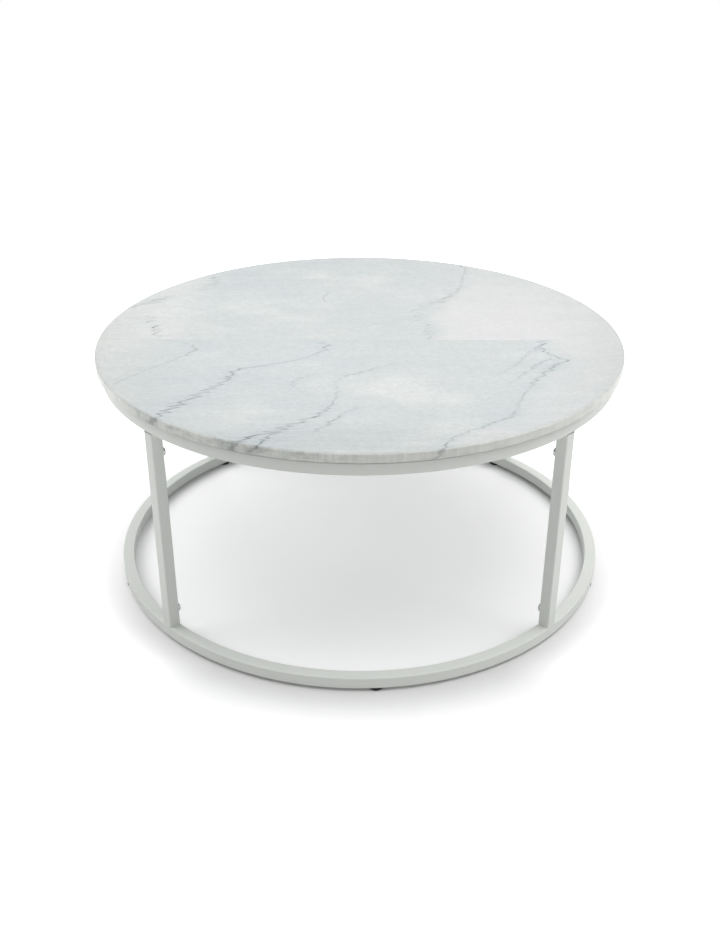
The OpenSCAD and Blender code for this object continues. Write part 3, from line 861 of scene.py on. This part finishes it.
def carve(piece, cutter):
    """Cuts one piece with another, and throws the cutter away."""
    cut = piece.modifiers.new("cut", "BOOLEAN")
    cut.operation, cut.object, cut.solver = "DIFFERENCE", cutter, "EXACT"
    solid_mesh(piece)
    bpy.data.objects.remove(cutter)
    return piece


def button_head(material):
    """The head of a leg bolt, its seat on the spring washer and its dome towards +Z."""
    rise = head_height - head_rim
    ball = (head_radius ** 2 + rise ** 2) / (2 * rise)
    reach = degrees(asin(head_radius / ball))
    top = head_seat + head_height
    profile = [(0, head_seat), (head_radius - head_edge, head_seat), (head_radius, head_seat + head_edge)]
    dome = corner(0, top - ball, ball, 90 - reach, 90, dome_steps)
    shape = turned(profile + dome[:-1] + [(0, top)], round_sides)
    bmesh.ops.recalc_face_normals(shape, faces=shape.faces[:])
    head = mesh_piece("button_head", shape)
    hexagon, hexagon_radius = bmesh.new(), socket_across / 3 ** 0.5
    cone(hexagon, 6, hexagon_radius, hexagon_radius, 2 * socket_depth, (0, 0, top))
    carve(head, mesh_piece("hex_key", hexagon, smooth=False))
    mouth, flare = bmesh.new(), socket_depth / 2
    cone(mouth, round_sides, socket_mouth - flare, socket_mouth + flare, socket_depth, (0, 0, top))
    carve(head, mesh_piece("countersink", mouth))
    paint(head, material)
    return head


def set_out(name, part, points_of, sizes, material, seed):
    """Puts a part on each of the points that a tree makes, turned in by chance about its own axis."""
    given = sized_tree(name, {"Part": part, **sizes})
    points, axis = points_of(given)
    info = given.node("GeometryNodeObjectInfo", (), {"Object": given["Part"]})["Geometry"]
    aimed = given.node("FunctionNodeAlignRotationToVector", {"axis": "Z"}, {"Vector": axis})
    chance = given.node("FunctionNodeRandomValue", {"data_type": "FLOAT"}, {2: 0.0, 3: tau, "Seed": seed})[1]
    spin = given.node("ShaderNodeCombineXYZ", (), {2: chance})
    turn = {"Rotation": aimed, "Rotate By": spin}
    turned_in = given.node("FunctionNodeRotateRotation", {"rotation_space": "LOCAL"}, turn)
    placed = {"Points": points, "Instance": info, "Rotation": turned_in}
    tree = finish_tree(given.node("GeometryNodeInstanceOnPoints", (), placed), material)
    piece = piece_from(name, tree, {"Part": part, **sizes})
    bpy.data.objects.remove(part)
    return piece


def at_the_legs(given):
    """A point on each leg's inner face at both heights, and the way from it to the middle."""
    corners = {"Size X": given["Across"], "Size Y": given["Along"], "Vertices X": 2, "Vertices Y": 2}
    four = given.node("GeometryNodeMeshGrid", (), corners)
    rows = []
    for height in ("Lower bolt", "Upper bolt"):
        rise = given.node("ShaderNodeCombineXYZ", (), {2: given[height]})
        rows.append(given.node("GeometryNodeTransform", (), {"Geometry": four, "Translation": rise}))
    points = given.node("GeometryNodeJoinGeometry", (), {"Geometry": rows})
    inward = {0: given.node("GeometryNodeInputPosition"), 1: (-1, -1, 0)}
    return points, given.node("ShaderNodeVectorMath", {"operation": "MULTIPLY"}, inward)


zinc = brushed("zinc_plate", zinc_colour, 0.34, 3)
bolt_head = button_head(zinc)
bolt_rod = threaded_rod("bolt_thread", bolt_thread, bolt_pitch, head_seat - bolt_reach,
                        head_seat + bolt_sunk, zinc)
bolt = made_one([bolt_head, bolt_rod], "one_bolt")
front_leg = radians(leg_bearings["leg_front_right"])
leg_spread = {"Across": 2 * ring_inside * sin(front_leg), "Along": 2 * ring_inside * cos(front_leg),
              "Lower bolt": bolt_z["lower"], "Upper bolt": bolt_z["upper"]}
ready(set_out("leg_bolts", bolt, at_the_legs, leg_spread, zinc, 4), "frame", "zinc_steel",
      "upper_leg_bolts", "lower_leg_bolts")
dress(zinc, "zinc_steel", "flat_washers", "spring_washers", "upper_weld_nuts", "lower_weld_nuts")


# The marble's fixings: a plated pan-head screw up through each tab into a threaded brass insert that is
# bonded into the underside. The heads have a cross recess, each left at whatever angle it tightened to.
screw_radius, screw_pitch, screw_reach, screw_sunk = 0.0025, 0.0008, 0.017, 0.0004
pan_radius, pan_height, pan_edge, pan_lip = 0.00475, 0.0032, 0.0012, 0.0002
pan_flat, pan_drop, pan_steps = 0.45, 0.00008, 6
recess_across, recess_wide, recess_depth = 0.0052, 0.0010, 0.0018
first_screw = radians(30)
brass_colour = srgb(199, 167, 90)


def pan_screw(material):
    """A screw along +Z, with its pan head below its seat at z 0."""
    profile = [(0, -pan_height), (pan_radius * pan_flat, pan_drop - pan_height)]
    profile += corner(pan_radius - pan_edge, pan_edge - pan_height + pan_lip, pan_edge, -80, 0, pan_steps)
    profile += [(pan_radius, -pan_lip), (pan_radius - pan_lip, 0), (0, 0)]
    shape = turned(profile, round_sides)
    bmesh.ops.recalc_face_normals(shape, faces=shape.faces[:])
    head = mesh_piece("pan_head", shape)
    for wide, deep in ((recess_across, recess_wide), (recess_wide, recess_across)):
        cross = bmesh.new()
        size = Matrix.Diagonal((wide, deep, 2 * recess_depth, 1))
        bmesh.ops.create_cube(cross, size=1, matrix=Matrix.Translation((0, 0, -pan_height)) @ size)
        carve(head, mesh_piece("cross", cross, smooth=False))
    paint(head, material)
    thread = threaded_rod("screw_thread", screw_radius, screw_pitch, -screw_sunk, screw_reach, material)
    return made_one([head, thread], "one_screw")


def round_the_ring(given):
    """Points spaced evenly on a circle, the first at a turn from the right, and the way up."""
    circle = given.node("GeometryNodeMeshCircle", (), {"Vertices": given["Count"], "Radius": given["Radius"]})
    turn = given.node("ShaderNodeCombineXYZ", (), {2: given["First"]})
    rise = given.node("ShaderNodeCombineXYZ", (), {2: given["Height"]})
    moved = {"Geometry": circle, "Rotation": turn, "Translation": rise}
    return given.node("GeometryNodeTransform", (), moved), (0, 0, 1)


screw_ring = {"Count": len(insert_bearings), "Radius": insert_radius, "Height": tab_under,
              "First": first_screw}
ready(set_out("pan_screws", pan_screw(zinc), round_the_ring, screw_ring, zinc, 9), "frame", "zinc_steel",
      "tab_screws")
brass = brushed("brass", brass_colour, 0.30, 7)
dress(brass, "brass_insert", "marble_inserts")


# The pads: clear silicone bumpers 12 mm across, six on the upper ring and three on the rail, which keep the
# marble off the steel. The weight on them has bulged their sides a little.
pad_radius, pad_height, pad_bulge = 0.0056, 0.004, 0.0004
pad_steps, pad_sides, rail_pad_reach = 8, 40, 0.26
clear_colour = srgb(232, 238, 238)


def silicone():
    """Clear silicone, slightly cloudy."""
    material, place = new_material("clear_silicone")
    cloud = speckle(place, (500, 500, 500), 2, 3)
    return finished(material, {
        "Base Color": clear_colour,
        "Roughness": 0.28 + cloud * 0.06,
        "IOR": 1.41,
        "Transmission Weight": 0.8,
    })


def bumper():
    """One pad, standing on z 0."""
    shares = [k / pad_steps for k in range(pad_steps + 1)]
    side = [(pad_radius + pad_bulge * sin(pi * share), pad_height * share) for share in shares]
    return mesh_piece("bumper", turned(side, pad_sides))


def along_the_rail(given):
    """Points in a row from one side to the other, and the way up."""
    spot = {0: given["Reach"] * -1, 1: given["Y"], 2: given["Height"]}
    start = given.node("ShaderNodeCombineXYZ", (), spot)
    apart = given.node("ShaderNodeCombineXYZ", (), {0: given["Reach"]})
    row = {"Count": given["Count"], "Start Location": start, "Offset": apart}
    return given.node("GeometryNodeMeshLine", (), row), (0, 0, 1)


clear = silicone()
pad_ring = {"Count": 6, "Radius": ring_radius, "Height": ring_high.z, "First": 0.0}
pad_row = {"Count": 3, "Reach": rail_pad_reach, "Y": rail_y, "Height": ring_high.z}
ring_bumpers = set_out("ring_bumpers", bumper(), round_the_ring, pad_ring, clear, 2)
ready(ring_bumpers, "frame", "clear_pad", "ring_pads")
rail_bumpers = set_out("rail_bumpers", bumper(), along_the_rail, pad_row, clear, 5)
ready(rail_bumpers, "frame", "clear_pad", "rail_pads")


# The feet: a black nylon disc held on the round head of an M8 stud, which screws into a flanged nut pressed
# into the lower ring. There are five, and each turns by itself to level the table.
stud_radius, stud_pitch, stud_sunk = 0.004, 0.00125, 0.0003
stud_head, stud_head_edge = 0.0065, 0.0004
stud_low, stud_neck, stud_top = 0.0011, 0.0027, 0.020
nylon_colour, nylon_worn = srgb(20, 21, 23), srgb(38, 39, 41)


def nylon():
    """Black moulded nylon with the fine bloom of its mould."""
    material, place = new_material("black_nylon")
    bloom = speckle(place, (1500, 1500, 1500), 6, 3)
    scuffs = speckle(place, (220, 220, 220), 8, 3).step(0.2, 1.2)
    return finished(material, {
        "Base Color": scuffs.mix(nylon_colour, nylon_worn),
        "Roughness": 0.46 + scuffs * 0.15,
        "Normal": dented(bloom, 0.35, 0.00008),
    })


def stud(name, place):
    """A levelling stud at a place: its round head below, and its thread above."""
    reach, steps = stud_head - stud_head_edge, round_steps // 2
    profile = corner(reach, stud_low + stud_head_edge, stud_head_edge, -90, 0, steps)
    profile += corner(reach, stud_neck - stud_head_edge, stud_head_edge, 0, 90, steps)
    shape = turned([(0, stud_low)] + profile + [(0, stud_neck)], round_sides)
    bmesh.ops.translate(shape, verts=shape.verts[:], vec=(place.x, place.y, 0))
    head = mesh_piece("stud_head", shape)
    paint(head, zinc)
    thread = threaded_rod("stud_thread", stud_radius, stud_pitch, stud_neck - stud_sunk, stud_top, zinc,
                          place.x, place.y)
    return made_one([head, thread], name)


black = nylon()
dress(zinc, "zinc_steel", "foot_nuts")
for foot, bearing in foot_bearings.items():
    dress(black, "black_nylon", f"foot_{foot}_base")
    ready(stud(f"{foot}_stud", point_at(bearing, ring_radius)), f"foot_{foot}_stud", "zinc_steel",
          f"foot_{foot}_stud")
